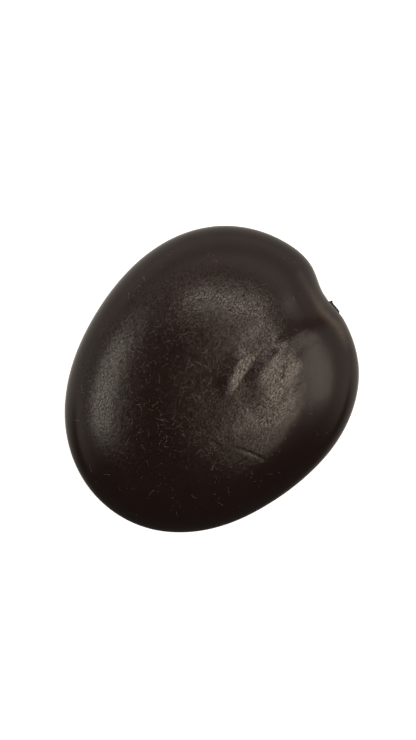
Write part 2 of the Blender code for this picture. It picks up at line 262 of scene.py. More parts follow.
# (degrees round from +X, depth, half width along the rim)
RIM_DIPS = ((75.4, 1.55 * MM, 4.3 * MM), (62.5, 0.85 * MM, 6.9 * MM))


def oval_radius(angle):
    return 1.0 / math.hypot(math.cos(angle) / (WIDTH / 2), math.sin(angle) / (LENGTH / 2))


def free_rim(angle):
    """The rim before it is fitted to the seed's length and width."""
    radius = oval_radius(angle)
    for lobes, share, toward in RIM_WAVES:
        radius += oval_radius(angle) * share * math.cos(lobes * (angle - math.radians(toward)))
    for at, depth, half_width in RIM_DIPS:
        away = angle - math.radians(at)
        away = math.atan2(math.sin(away), math.cos(away))
        spread = half_width / oval_radius(math.radians(at))
        radius -= depth * math.exp(-((away / spread) ** 2))
    return Vector((radius * math.cos(angle), radius * math.sin(angle), 0.0))


def corners(points):
    """The lowest and the highest corner of the box round some points."""
    return [Vector([pick(p[k] for p in points) for k in range(3)]) for pick in (min, max)]


def fitted_rim():
    """The same points, moved and scaled to fill the seed's box exactly."""
    points = [free_rim(2 * math.pi * i / RIM_POINTS) for i in range(RIM_POINTS)]
    low, high = corners(points)
    size = high - low
    scale = Vector((WIDTH / size.x, LENGTH / size.y, 0.0))
    return [(point - (low + high) / 2) * scale for point in points]


def line_object(name, points, closed=False):
    """A curve of straight steps, for a tree to measure from. It isn't rendered."""
    curve = bpy.data.curves.new(name, "CURVE")
    curve.dimensions = "3D"
    spline = curve.splines.new("POLY")
    spline.points.add(len(points) - 1)
    for target, point in zip(spline.points, points):
        target.co = (*point, 1.0)
    spline.use_cyclic_u = closed
    made = link(bpy.data.objects.new(name, curve))
    made.hide_render = True
    return made


rim_points = fitted_rim()
rim_line = line_object("rim_line", rim_points, closed=True)
around = sum((a - b).length for a, b in zip(rim_points, rim_points[1:] + rim_points[:1]))
print(f"rim: {RIM_POINTS} points, {around / MM:.0f} mm round")


# %% [markdown]
# ## The body of the coat
#
# Both faces rise from the rim by one rule, a flattened ellipse, so a Geometry Nodes tree can grow
# the whole skin. It starts from a subdivided cube, because that closes without a pole or a seam and
# gives even squares. The cube's top and bottom become the two faces, and its sides become the rim.

# %% The tree that grows a skin from the outline
SHOULDER = 2.5  # 2 makes each face an ellipse in section, and more makes it flatter
REST_SHARE = 0.2  # the flat spot's share of the underside's radius
SIDE_LATITUDE = math.radians(27.0)  # where the cube's sides end
CROWN = Vector((-3.0, -1.5)) * MM  # highest point of the upper face, from the middle

skin_tree, given = new_group(
    "grow_seed_skin", "GeometryNodeTree",
    [
        ("Rim", "Object", None), ("Thickness", "Float", THICKNESS),
        ("Rim Height", "Float", RIM_HEIGHT), ("Shoulder", "Float", SHOULDER),
        ("Crown X", "Float", CROWN.x), ("Crown Y", "Float", CROWN.y),
        ("Rim Depth", "Float", 0.0), ("Face Depth", "Float", 0.0),
        ("Points Across", "Int", 60), ("Points High", "Int", 16),
    ],
    [("Geometry", "Geometry")],
)
cube = node(skin_tree, "GeometryNodeMeshCube", {
    "Size": (2.0, 2.0, 2.0), "Vertices X": given["Points Across"],
    "Vertices Y": given["Points Across"], "Vertices Z": given["Points High"],
})
x, y, z = xyz(skin_tree, node(skin_tree, "GeometryNodeInputPosition").outputs[0])
size_x, size_y = calc("ABSOLUTE", x), calc("ABSOLUTE", y)
square = calc("MAXIMUM", size_x, size_y)
# Each square of the grid becomes a round ring: an eighth of a turn for each half side
upright = calc("GREATER_THAN", size_y, size_x)
by_side = y / x / 8.0 + calc("LESS_THAN", x, 0.0) / 2.0
by_end = 0.25 - x / y / 8.0 + calc("LESS_THAN", y, 0.0) / 2.0
turn = calc("FRACT", by_side * (1.0 - upright) + by_end * upright)
rim_curve = node(skin_tree, "GeometryNodeObjectInfo", {"Object": given["Rim"]}).outputs["Geometry"]
rim = node(skin_tree, "GeometryNodeSampleCurve", {"Curves": rim_curve, "Factor": turn}, mode="FACTOR")
rim_x, rim_y, _ = xyz(skin_tree, rim.outputs["Position"])
rim_radius = across_level(rim_x, rim_y)
shrink = 1.0 - given["Rim Depth"] / rim_radius

below = calc("LESS_THAN", z, 0.0)
flat = below * REST_SHARE
side_reach = calc("COSINE", z * SIDE_LATITUDE) ** (2.0 / given["Shoulder"])
reach = square * (flat + (1.0 - flat) * side_reach)
bulge = calc("MAXIMUM", (reach - flat) / (1.0 - flat), 0.0)
height = calc("SQRT", calc("MAXIMUM", 1.0 - bulge ** given["Shoulder"], 0.0))
upper_rise = given["Thickness"] - given["Rim Height"] - given["Face Depth"]
lower_rise = given["Face Depth"] - given["Rim Height"]
rise = upper_rise * (1.0 - below) + lower_rise * below
crown_share = (1.0 - reach) * (1.0 - below)
skin_place = vector_of(
    skin_tree,
    rim_x * shrink * reach + given["Crown X"] * crown_share,
    rim_y * shrink * reach + given["Crown Y"] * crown_share,
    given["Rim Height"] + rise * height,
)
skin = node(skin_tree, "GeometryNodeSetPosition", {
    "Geometry": cube.outputs["Mesh"], "Position": skin_place,
})
skin = node(skin_tree, "GeometryNodeSetShadeSmooth", {"Geometry": skin.outputs[0]})
end_group(skin_tree, Geometry=skin.outputs[0])
print(f"{skin_tree.name}: {len(skin_tree.nodes)} nodes")


# %% [markdown]
# ## Crease, keel and folds
#
# As the seed dried, its coat settled over the root tip inside and left a crease that runs in from
# the notch, with folds beside it, and a keel along the rim. Each is a line, drawn on the face, and
# the coat rises or sinks by how near it is. Geometry Proximity measures that nearness.

# %% Draw the lines that the coat rises or sinks along
# Each line: name, height (a groove is negative), half width, and its points, all in millimetres
RELIEF_LINES = (
    ("crease", -0.045, 0.50, ((6.4, 17.6), (5.1, 15.7), (4.1, 13.0), (3.6, 9.0), (3.5, 5.0),
                              (3.5, 2.0), (3.3, -0.4))),
    ("crease_left", 0.20, 1.35, ((0.9, 8.4), (1.2, 6.2), (1.6, 4.2), (2.0, 1.8), (2.4, -0.8))),
    ("root_ridge", 0.20, 1.25, ((9.8, 21.6), (8.0, 18.2), (6.6, 15.7), (5.9, 13.0), (5.5, 9.0),
                                (5.4, 5.6), (5.2, 3.0))),
    ("root_shoulder", 0.13, 1.20, ((8.0, 18.0), (6.9, 15.6), (6.2, 13.2), (5.8, 11.0), (5.6, 8.6))),
    ("left_fill", 0.15, 3.80, ((5.8, 22.6), (5.2, 19.6), (4.5, 16.2), (3.9, 12.6), (3.6, 10.0))),
    ("root_back", 0.20, 3.00, ((11.6, 17.0), (10.0, 13.4), (9.0, 10.2), (8.7, 7.0), (8.4, 3.6),
                               (8.0, 0.2))),
    ("fork_upper", -0.08, 0.26, ((7.4, 10.6), (7.8, 9.4), (8.3, 8.3), (8.4, 7.6), (8.0, 6.6),
                                 (7.6, 5.4))),
    ("fork_lower", -0.06, 0.22, ((8.3, 8.6), (9.2, 7.2), (9.5, 6.0))),
    ("low_fold", -0.03, 0.24, ((8.8, -6.3), (10.8, -5.5), (13.1, -5.0), (15.6, -4.6))),
    ("cross_fold_1", -0.022, 0.24, ((12.6, 7.0), (11.8, 5.6), (11.2, 4.3), (10.3, 3.1))),
    ("cross_fold_2", -0.018, 0.22, ((12.4, 9.6), (11.8, 8.4), (11.0, 7.6))),
    ("cross_fold_3", -0.020, 0.22, ((12.8, 2.8), (12.0, 1.6), (11.2, 0.4), (10.0, -0.4))),
    ("keel", 0.15, 1.20, ((-1.4, 25.0), (0.3, 24.4), (2.5, 23.6), (4.7, 22.5), (7.1, 21.4), (10.0, 21.2),
                          (12.5, 20.4), (15.0, 19.2), (17.1, 17.4), (19.2, 14.4))),
    ("keel_groove", -0.08, 1.40, ((0.6, 22.6), (2.6, 21.9), (4.6, 20.9), (6.6, 19.9), (8.8, 19.3),
                                  (11.4, 18.6), (13.6, 17.2))),
)

SETTLED_AT = Vector((8.5, 5.0)) * MM  # middle of the part beside the crease that settled
SETTLED_RADIUS = 9.0 * MM
FADE = 0.3  # share of a line over which each end fades out


def rounded(points, steps=8):
    """A smooth line through the points (Catmull-Rom), with this many short steps in each span."""
    ends = [points[0], *points, points[-1]]
    line = []
    for i in range(len(points) - 1):
        a, b, c, d = [Vector(p) for p in ends[i:i + 4]]
        for k in range(steps):
            t = k / steps
            line.append(
                (2 * b + (c - a) * t + (2 * a - 5 * b + 4 * c - d) * t ** 2
                 + (3 * b - a - 3 * c + d) * t ** 3) / 2
            )
    return line + [Vector(points[-1])]


def relief_line(name, points):
    """A line whose radius says how much of its relief is left: 1, and less towards both ends."""
    line = [Vector((*(point * MM), 0.0)) for point in rounded(points)]
    made = line_object(name, line)
    for i, point in enumerate(made.data.splines[0].points):
        t = i / (len(line) - 1)
        near_end = min(t / FADE, (1.0 - t) / FADE, 1.0)
        point.radius = near_end * near_end * (3.0 - 2.0 * near_end)
    return made


relief_lines = [
    (relief_line(name, points), line_height * MM, half_width * MM)
    for name, line_height, half_width, points in RELIEF_LINES
]
print(f"{len(relief_lines)} lines of relief")

# %% Where the coat is leathery
TAUT_GRAIN = 0.12  # how much of the grain is left towards the rim
WRINKLES_FADE = (0.66, 0.82)  # shares of the way out between which the wrinkles fade
GRAIN_FADES = (0.60, 0.88)


def leathery_share(x, y, fade_from, fade_to):
    """1 on the flat middle of the face, falling to TAUT_GRAIN between two shares of the way out."""
    return step(share_out(x - CROWN.x, y - CROWN.y), fade_from, fade_to, 1.0, TAUT_GRAIN)


# %% The tree that raises the relief
SWELLS = 110.0  # blobs per metre of the noise behind each kind of relief
PLEATS = 620.0
WRINKLES = 520.0
WRINKLE_WIDTH = 0.055  # how near zero the noise lies inside a wrinkle

relief_tree, given = new_group(
    "raise_coat_relief", "GeometryNodeTree",
    [
        ("Geometry", "Geometry", None), ("Swell", "Float", 0.04 * MM),
        ("Pleat", "Float", 0.022 * MM), ("Wrinkle", "Float", 0.012 * MM),
        ("Material", "Material", None),
    ],
    [("Geometry", "Geometry")],
)
place = node(relief_tree, "GeometryNodeInputPosition").outputs[0]
normal = node(relief_tree, "GeometryNodeInputNormal").outputs[0]
x, y, z = xyz(relief_tree, place)
_, _, facing_up = xyz(relief_tree, normal)
on_top = step(facing_up, 0.0, 0.35)
plan = vector_of(relief_tree, x, y, 0.0)

total = None
for line, line_height, half_width in relief_lines:
    curve = node(relief_tree, "GeometryNodeObjectInfo", {"Object": line}).outputs["Geometry"]
    edges = node(relief_tree, "GeometryNodeCurveToMesh", {"Curve": curve})
    nearness = node(relief_tree, "GeometryNodeProximity", {
        0: edges.outputs[0], "Sample Position": plan,
    }, target_element="EDGES")
    dots = node(relief_tree, "GeometryNodeCurveToPoints", {"Curve": curve}, mode="EVALUATED")
    nearest = node(relief_tree, "GeometryNodeSampleNearest", {
        "Geometry": dots.outputs[0], "Sample Position": plan,
    })
    left = node(relief_tree, "GeometryNodeSampleIndex", {
        "Geometry": dots.outputs[0], 1: node(relief_tree, "GeometryNodeInputRadius").outputs[0],
        "Index": nearest.outputs[0],
    }, data_type="FLOAT")
    part = bell(Term(relief_tree, nearness.outputs["Distance"]), half_width) * line_height
    part = part * Term(relief_tree, left.outputs[0])
    total = part if total is None else total + part
lines_height = total * on_top

swell = noise(relief_tree, place, SWELLS, detail=1.0) * given["Swell"] * 2.0
# Pleats run along the crease, in the part beside it that settled
settled = bell(across_level(x - SETTLED_AT.x, y - SETTLED_AT.y), SETTLED_RADIUS)
along_crease = stretched(relief_tree, place, 1.0, 0.34, 1.0)
pleat = noise(relief_tree, along_crease, PLEATS, detail=1.5, distortion=0.3)
pleats = pleat * given["Pleat"] * 2.5 * settled * on_top
# Wrinkles are the lines where a noise crosses zero: thin valleys that wind and branch
winding = calc("ABSOLUTE", noise(relief_tree, place, WRINKLES, detail=2.0, distortion=0.6))
wrinkle = bell(winding, WRINKLE_WIDTH) * given["Wrinkle"] * leathery_share(x, y, *WRINKLES_FADE)
relief = lines_height + swell + pleats - wrinkle
raised = node(relief_tree, "GeometryNodeSetPosition", {
    "Geometry": given["Geometry"], "Offset": scaled(relief_tree, normal, relief),
})
# Nothing sinks below the ground that the seed rests on
x, y, z = xyz(relief_tree, node(relief_tree, "GeometryNodeInputPosition").outputs[0])
raised = node(relief_tree, "GeometryNodeSetPosition", {
    "Geometry": raised.outputs[0], "Position": vector_of(relief_tree, x, y, calc("MAXIMUM", z, 0.0)),
})
end_geometry(relief_tree, raised.outputs[0], given["Material"])


# %% [markdown]
# ## Effects that several finishes share
#
# Real surfaces repeat a few effects: colour that drifts, a skin that has shrunk into grain, fibres
# that run one way, and dust. Each is a shader node group here, with its own inputs, so every finish
# can use it with its own values. A group puts out a colour or a value, never a whole shader.

# %% Small helpers for finishes
def mixed(tree, share, first, second):
    """A colour that goes from the first to the second as the share rises."""
    made = node(tree, "ShaderNodeMix", {0: share, 6: first, 7: second}, data_type="RGBA")
    return made.outputs[2]


def cells(tree, place, scale, feature="F1"):
    """Voronoi cells: the distance to the nearest point or edge, in cells."""
    made = node(tree, "ShaderNodeTexVoronoi", {"Vector": place, "Scale": scale}, feature=feature)
    return Term(tree, made.outputs["Distance"])


# %% Colour that drifts from place to place
mottle_group, given = new_group(
    "mottle", "ShaderNodeTree",
    [("Place", "Vector", None), ("First", "Color", (1, 1, 1, 1)), ("Second", "Color", (0, 0, 0, 1)),
     ("Scale", "Float", 200.0), ("Contrast", "Float", 2.0)],
    [("Colour", "Color")],
)
drift = noise(mottle_group, given["Place"], given["Scale"], detail=5.0, roughness=0.6, distortion=0.3)
drift = clamped(drift * given["Contrast"] + 0.5)
end_group(mottle_group, Colour=mixed(mottle_group, drift, given["First"], given["Second"]))


def mottled(tree, place, first, second, scale, contrast=2.0):
    """A colour that drifts between two."""
    inputs = {"Place": place, "First": first, "Second": second, "Scale": scale, "Contrast": contrast}
    return node(tree, "ShaderNodeGroup", inputs, node_tree=mottle_group).outputs[0]


# %% Grain like shrunken skin
grain_group, given = new_group(
    "skin_grain", "ShaderNodeTree",
    [("Place", "Vector", None), ("Scale", "Float", 1800.0), ("Crack Width", "Float", 0.14),
     ("Roughen", "Float", 0.4)],
    [("Height", "Float"), ("Plates", "Float")],
)
wander = node(grain_group, "ShaderNodeTexNoise", {
    "Vector": given["Place"], "Scale": given["Scale"] * 0.8, "Detail": 1.0,
})
wander = scaled(grain_group, wander.outputs["Color"], 0.9 / given["Scale"])
wandered = node(grain_group, "ShaderNodeVectorMath", {0: given["Place"], 1: wander})
pebble = cells(grain_group, wandered.outputs[0], given["Scale"], "DISTANCE_TO_EDGE")
pebble = calc("SMOOTH_MIN", pebble / given["Crack Width"], 1.0, 0.6)
fine = noise(grain_group, given["Place"], given["Scale"] * 2.6, detail=2.0, roughness=0.6)
end_group(grain_group, Height=pebble + fine * given["Roughen"], Plates=pebble)


def grained(tree, place, scale, crack_width, roughen):
    """The height of a grain, and how far into a plate each place is."""
    inputs = {"Place": place, "Scale": scale, "Crack Width": crack_width, "Roughen": roughen}
    made = node(tree, "ShaderNodeGroup", inputs, node_tree=grain_group)
    return [Term(tree, made.outputs[label]) for label in ("Height", "Plates")]


# %% Fibres that run one way
streak_group, given = new_group(
    "fibre_streaks", "ShaderNodeTree",
    [("Place", "Vector", None), ("Scale", "Float", 3000.0), ("Sharpness", "Float", 2.5)],
    [("Height", "Float")],
)
streak = noise(streak_group, given["Place"], given["Scale"], detail=4.0, roughness=0.65)
end_group(streak_group, Height=clamped(streak * given["Sharpness"] + 0.5))

# %% Dust that settles in specks
dust_group, given = new_group(
    "dust", "ShaderNodeTree",
    [("Place", "Vector", None), ("Scale", "Float", 900.0), ("Speck Size", "Float", 0.1),
     ("Patches", "Float", 0.55)],
    [("Mask", "Float")],
)
speck = step(cells(dust_group, given["Place"], given["Scale"]), 0.0, given["Speck Size"], 1.0, 0.0)
patch = noise(dust_group, given["Place"], given["Scale"] / 9.0, detail=2.0) + 0.5
end_group(dust_group, Mask=speck * step(patch, given["Patches"], given["Patches"] + 0.06))
print("effects:", ", ".join(group.name for group in bpy.data.node_groups if "seed" not in group.name))


# %% [markdown]
# ## Finishes
#
# A material's Principled shader stays in the material itself, and the groups feed its colour,
# roughness and bump. All patterns read Object coordinates, so they stay where they are on a piece.

# %% Start a finish
def new_finish(name, roughness, **plain):
    """A material, its tree, its shader and its Object coordinates."""
    material = bpy.data.materials.new(name)
    material.use_nodes = True
    tree = material.node_tree
    shader = tree.nodes["Principled BSDF"]
    shader.inputs["Roughness"].default_value = roughness
    for label, value in plain.items():
        shader.inputs[label.replace("_", " ")].default_value = value
    place = node(tree, "ShaderNodeTexCoord").outputs["Object"]
    return material, tree, shader, place


def bump(tree, shader, height, depth):
    """Lets a height shade the surface as if it stood this deep."""
    made = node(tree, "ShaderNodeBump", {"Height": height, "Distance": depth})
    tree.links.new(made.outputs[0], shader.inputs["Normal"])


# %% [markdown]
# ### The coat's finish
#
# The coat is nearly black with some red in it, and waxy. Its flat middle and the ring round it have
# shrunk into a leathery grain that is finer than the mesh, so it is bump. Towards the rim the coat
# stayed taut and smooth. A thin layer of wax over all of it gives the shine. The very edge is a
# lighter brown, partly wear from handling and partly a painted sheen, and a painted highlight runs along
# the keel.

# %% The coat's colours and measures
COAT_DARK = (0.0088, 0.0050, 0.0047, 1.0)
COAT_RED = (0.0125, 0.0064, 0.0058, 1.0)
# The pale brown of the steep edge: partly wear, partly a painted sheen of grazing light
COAT_WORN_AND_SHEEN = (0.17, 0.132, 0.104, 1.0)
COAT_DUST = (0.16, 0.14, 0.12, 1.0)
# The pale streak on the keel's crest is a painted highlight
KEEL_HIGHLIGHT_COLOUR = (0.14, 0.12, 0.10, 1.0)
EDGE_WEAR_AND_SHEEN = 0.8  # how much of the pale colour shows: on the edge wear and a painted sheen, on the keel a painted highlight
KEEL_HIGHLIGHT_SHARE = 0.42
KEEL_CREST = ((1.4, 23.5), (4.7, 22.3), (7.6, 21.0), (11.6, 20.4), (15.2, 18.6))  # millimetres
KEEL_HIGHLIGHT_HALF_WIDTH = 0.75 * MM  # half width of the painted highlight along the keel's crest
CREASE_MOUTH = ((5.2, 15.4), (8.6, 19.2))  # millimetres, where dirt keeps the crease dull
CREASE_DULL = 1.3 * MM  # half width of the dull part
COAT_ROUGHNESS = 0.17
GRAIN_DEPTH = 0.012 * MM
WAX = 0.54  # weight of the waxy layer, and what pits, cracks and dirt take from it
PITS_TAKE = 0.54
CRACKS_TAKE = 0.40
DIRT_TAKES = 0.50


def near_line(x, y, start, end):
    """How far a place is from the straight line between two points, given in millimetres."""
    start = Vector(start) * MM
    along = Vector(end) * MM - start
    away_x = x - start.x
    away_y = y - start.y
    run = clamped((away_x * along.x + away_y * along.y) / along.length_squared)
    return across_level(away_x - run * along.x, away_y - run * along.y)


# %% The coat's colour: dark, lighter at the edge from wear and a painted sheen, a painted highlight on the keel, and specked with dust
def coat_colour(tree, place, x, y):
    _, _, facing_up = xyz(tree, node(tree, "ShaderNodeTexCoord").outputs["Normal"])
    colour = mottled(tree, place, COAT_DARK, COAT_RED, 160.0, 2.4)
    # Lighter where the coat turns steep at the edge: partly wear, partly a painted sheen of grazing
    # light
    edge = step(calc("ABSOLUTE", facing_up), 0.08, 0.40, 1.0, 0.0)
    uneven = noise(tree, place, 260.0, detail=3.0) + 0.9
    patches = step(noise(tree, place, 190.0, detail=4.0), -0.16, 0.14, 0.25, 1.0)
    colour = mixed(tree, edge * uneven * patches * EDGE_WEAR_AND_SHEEN, colour, COAT_WORN_AND_SHEEN)

    # A painted highlight along the keel's crest, where it faces up, strongest between 2 and 16 mm
    # across, and broken into streaks by noise
    crest = None
    for start, end in zip(KEEL_CREST, KEEL_CREST[1:]):
        near = near_line(x, y, start, end)
        crest = near if crest is None else calc("MINIMUM", crest, near)
    lower_part = step(x, 2.0 * MM, 9.0 * MM, 0.35, 1.0) * step(x, 12.0 * MM, 16.0 * MM, 1.0, 0.0)
    keel_streaks = noise(tree, stretched(tree, place, 1.0, 3.0, 1.0), 900.0, detail=3.0) + 0.9
    painted_keel_highlight = bell(crest, KEEL_HIGHLIGHT_HALF_WIDTH) * step(facing_up, 0.1, 0.4) * lower_part * keel_streaks
    colour = mixed(tree, painted_keel_highlight * KEEL_HIGHLIGHT_SHARE, colour, KEEL_HIGHLIGHT_COLOUR)

    specks = node(tree, "ShaderNodeGroup", {
        "Place": place, "Scale": 1100.0, "Speck Size": 0.13, "Patches": 0.56,
    }, node_tree=dust_group).outputs[0]
    return mixed(tree, Term(tree, specks) * 0.8, colour, COAT_DUST)


# %% The coat's grain and shine
def coat_finish():
    material, tree, shader, place = new_finish(
        "coat", COAT_ROUGHNESS, Coat_Roughness=0.22, Specular_IOR_Level=0.2,
    )
    x, y, _ = xyz(tree, place)
    tree.links.new(coat_colour(tree, place, x, y), shader.inputs["Base Color"])

    leathery = leathery_share(x, y, *GRAIN_FADES)
    height, plates = grained(tree, stretched(tree, place, 1.0, 0.6, 1.0), 2900.0, 0.2, 0.7)
    bump(tree, shader, height * leathery, GRAIN_DEPTH)
    # The shine is a thin layer of wax, worn away in the pits and cracks of the grain
    pits = noise(
        tree, stretched(tree, place, 1.0, 0.5, 1.0), 4000.0, detail=3.0, roughness=0.7, distortion=0.2,
    )
    pits = step(pits, -0.15, 0.08, 1.0, 0.0) * PITS_TAKE
    cracks = (1.0 - plates) * CRACKS_TAKE
    dirt = bell(near_line(x, y, *CREASE_MOUTH), CREASE_DULL) * DIRT_TAKES
    wax = calc("MAXIMUM", WAX - (pits + cracks) * leathery - dirt, 0.0)
    tree.links.new(wax.socket, shader.inputs["Coat Weight"])
    dull = noise(tree, place, 700.0, detail=3.0) * 0.2
    roughness = COAT_ROUGHNESS - leathery * 0.01 + dull * leathery * 0.6
    tree.links.new(roughness.socket, shader.inputs["Roughness"])
    return material


# %% [markdown]
# ### Finishes of the pieces inside
#
# None of these shows until the seed is cut open. The spongy layer is pale and full of small pores,
# the inner skin is papery, the kernel is smooth and cream coloured, and the strand and the stalk are
# bundles of brown fibres.

# %% Pale and porous, for the spongy layer and the cushion
def spongy_finish(name, light, dark, pore_scale):
    material, tree, shader, place = new_finish(name, 0.85)
    grain, _ = grained(tree, place, pore_scale, 0.3, 0.8)
    colour = mottled(tree, place, dark, light, pore_scale * 0.4)
    pores = step(grain, 0.1, 0.7)
    tree.links.new(mixed(tree, pores, dark, colour), shader.inputs["Base Color"])
    bump(tree, shader, grain, 0.08 * MM)
    return material


# %% Papery, for the inner skin
def papery_finish():
    material, tree, shader, place = new_finish("inner_skin", 0.55)
    colour = mottled(tree, place, (0.16, 0.075, 0.032, 1.0), (0.26, 0.14, 0.07, 1.0), 140.0, 2.2)
    tree.links.new(colour, shader.inputs["Base Color"])
    veins, _ = grained(tree, place, 420.0, 0.12, 0.3)
    bump(tree, shader, veins, 0.05 * MM)
    return material


# %% Smooth and creamy, for the seed leaves and the embryo
def kernel_finish(name, light, dark, scale):
    material, tree, shader, place = new_finish(
        name, 0.42, Subsurface_Weight=0.15, Subsurface_Scale=0.6 * MM,
    )
    tree.links.new(mottled(tree, place, dark, light, scale), shader.inputs["Base Color"])
    grain, _ = grained(tree, place, scale * 6.0, 0.2, 0.5)
    bump(tree, shader, grain, 0.02 * MM)
    return material


# %% Fibrous, for the stalk and the strand
def fibrous_finish(name, light, dark, stretch):
    material, tree, shader, place = new_finish(name, 0.7)
    streaks = node(tree, "ShaderNodeGroup", {
        "Place": stretched(tree, place, *stretch), "Scale": 3600.0, "Sharpness": 3.0,
    }, node_tree=streak_group).outputs[0]
    tree.links.new(mixed(tree, streaks, dark, light), shader.inputs["Base Color"])
    bump(tree, shader, streaks, 0.05 * MM)
    return material


# %% Give each solid inside its finish
CREAM = ((0.66, 0.55, 0.38, 1.0), (0.50, 0.37, 0.22, 1.0))  # each finish: a light and a dark colour
PALE_YELLOW = ((0.72, 0.64, 0.44, 1.0), (0.58, 0.49, 0.28, 1.0))
TAN = ((0.52, 0.39, 0.25, 1.0), (0.24, 0.15, 0.08, 1.0))
CORK_BROWN = ((0.30, 0.20, 0.12, 1.0), (0.10, 0.06, 0.035, 1.0))
STALK_BROWN = ((0.030, 0.018, 0.013, 1.0), (0.008, 0.005, 0.004, 1.0))
STRAND_BROWN = ((0.22, 0.12, 0.06, 1.0), (0.08, 0.04, 0.02, 1.0))
SCUFF_GREY = ((0.30, 0.26, 0.22, 1.0), (0.12, 0.10, 0.085, 1.0))

finishes = {
    "coat": coat_finish(),
    "spongy_layer": spongy_finish("spongy_layer", *TAN, 900.0),
    "inner_skin": papery_finish(),
    "kernel": kernel_finish("kernel", *CREAM, 180.0),
    "embryo": kernel_finish("embryo", *PALE_YELLOW, 420.0),
    "stalk": fibrous_finish("stalk", *STALK_BROWN, (1.0, 0.35, 1.0)),
    "cushion": spongy_finish("cushion", *CORK_BROWN, 3200.0),
    "strand": fibrous_finish("strand", *STRAND_BROWN, (0.6, 0.6, 1.6)),
    "scuffs": fibrous_finish("scuffs", *SCUFF_GREY, (1.0, 1.0, 1.0)),
}
CARRIED_OVER = {
    "spongy_coat": "spongy_layer", "inner_skin": "inner_skin",
    "upper_seed_leaf": "kernel", "lower_seed_leaf": "kernel", "embryo_axis": "embryo",
    "plumule_bud": "embryo", "first_leaf_left": "embryo", "first_leaf_right": "embryo",
}
for name, finish_name in CARRIED_OVER.items():
    nodes[name].data.materials.clear()
    nodes[name].data.materials.append(finishes[finish_name])
print(f"{len(finishes)} finishes, {len(CARRIED_OVER)} solids keep their shape")


# %% [markdown]
# ## Growing the coat
#
# The coat is a hard shell with the other pieces inside it, so it is grown twice: once with relief
# for the outside, and once smooth and deeper for the cavity. A Boolean takes the cavity out of the
# outside, and cuts the two ways in: the slot for the stalk and the pinhole over the root tip.

# %% Find the hilum on the rim
HARD_COAT = 0.8 * MM
GAP = 0.3 * MM
CUT_REACH = HARD_COAT * 3
MICROPYLE_RADIUS = 0.35 * MM
MICROPYLE_FROM_HILUM = -10.0  # degrees round the rim


def rim_frame(index):
    """A place on the rim: +Y points straight out of the seed and +Z up."""
    along = rim_points[(index + 2) % RIM_POINTS] - rim_points[index - 2]
    turn = math.atan2(along.y, along.x) - math.pi
    place = rim_points[index % RIM_POINTS]
    return Matrix.Translation((place.x, place.y, RIM_HEIGHT)) @ Matrix.Rotation(turn, 4, "Z")


cushion_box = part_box("hilum_cushion")
cushion_middle = (cushion_box[0] + cushion_box[1]) / 2
cushion_middle.z = 0.0
hilum_index = min(range(RIM_POINTS), key=lambda i: (rim_points[i] - cushion_middle).length)
hilum = rim_frame(hilum_index)
hilum_degrees = math.degrees(math.atan2(hilum.translation.y, hilum.translation.x))
micropyle = rim_frame(hilum_index + round(MICROPYLE_FROM_HILUM / 360.0 * RIM_POINTS))


def extent(name, frame_at):
    """A solid's lowest and highest corner, measured in a frame of the rim."""
    inverse = frame_at.inverted()
    return corners([inverse @ vertex.co for vertex in nodes[name].data.vertices])


cushion_low, cushion_high = extent("hilum_cushion", hilum)
stalk_low, stalk_high = extent("funicle_stub", hilum)
print(f"hilum at {hilum_degrees:.1f} degrees, cushion {(cushion_high - cushion_low) / MM} mm")


# %% Helpers for cutting and shading
def shade_smooth(made, sharp_degrees=None):
    """Shades a piece smooth, except over edges sharper than this."""
    made.data.polygons.foreach_set("use_smooth", [True] * len(made.data.polygons))
    if sharp_degrees:
        made.data.set_sharp_from_angle(angle=math.radians(sharp_degrees))


def mesh_object(name, bm, place=None):
    """An object from a bmesh, with its place worked into the mesh."""
    mesh = bpy.data.meshes.new(name)
    bmesh.ops.recalc_face_normals(bm, faces=bm.faces)
    bm.to_mesh(mesh)
    bm.free()
    if place:
        mesh.transform(place)
    return link(bpy.data.objects.new(name, mesh))


def round_turns(sides):
    """The angles of the points round a ring."""
    return [2 * math.pi * i / sides for i in range(sides)]


def add_ring_faces(bm, rings, closed_ends=True):
    """Quads between one closed ring of vertices and the next, and a face over each end."""
    for this, following in zip(rings, rings[1:]):
        for i in range(len(this)):
            j = (i + 1) % len(this)
            bm.faces.new((this[i], this[j], following[j], following[i]))
    if closed_ends:
        bm.faces.new(rings[0])
        bm.faces.new(rings[-1][::-1])


def oval_pin(name, half_width, half_height, place):
    """A closed oval pin along the frame's Y, long enough to pass through the coat."""
    bm = bmesh.new()
    add_ring_faces(bm, [
        [bm.verts.new((half_width * math.cos(t), y, half_height * math.sin(t))) for t in round_turns(32)]
        for y in (-CUT_REACH, CUT_REACH)
    ])
    return mesh_object(name, bm, place)


def cut(target, cutters):
    """Takes the cutters out of the target, and deletes them."""
    for tool in cutters:
        modifier = target.modifiers.new(tool.name, "BOOLEAN")
        modifier.operation = "DIFFERENCE"
        modifier.solver = "MANIFOLD"
        modifier.object = tool
    result = evaluated_mesh(target, target.name)
    target.modifiers.clear()
    target.data = result
    for tool in cutters:
        bpy.data.objects.remove(tool)


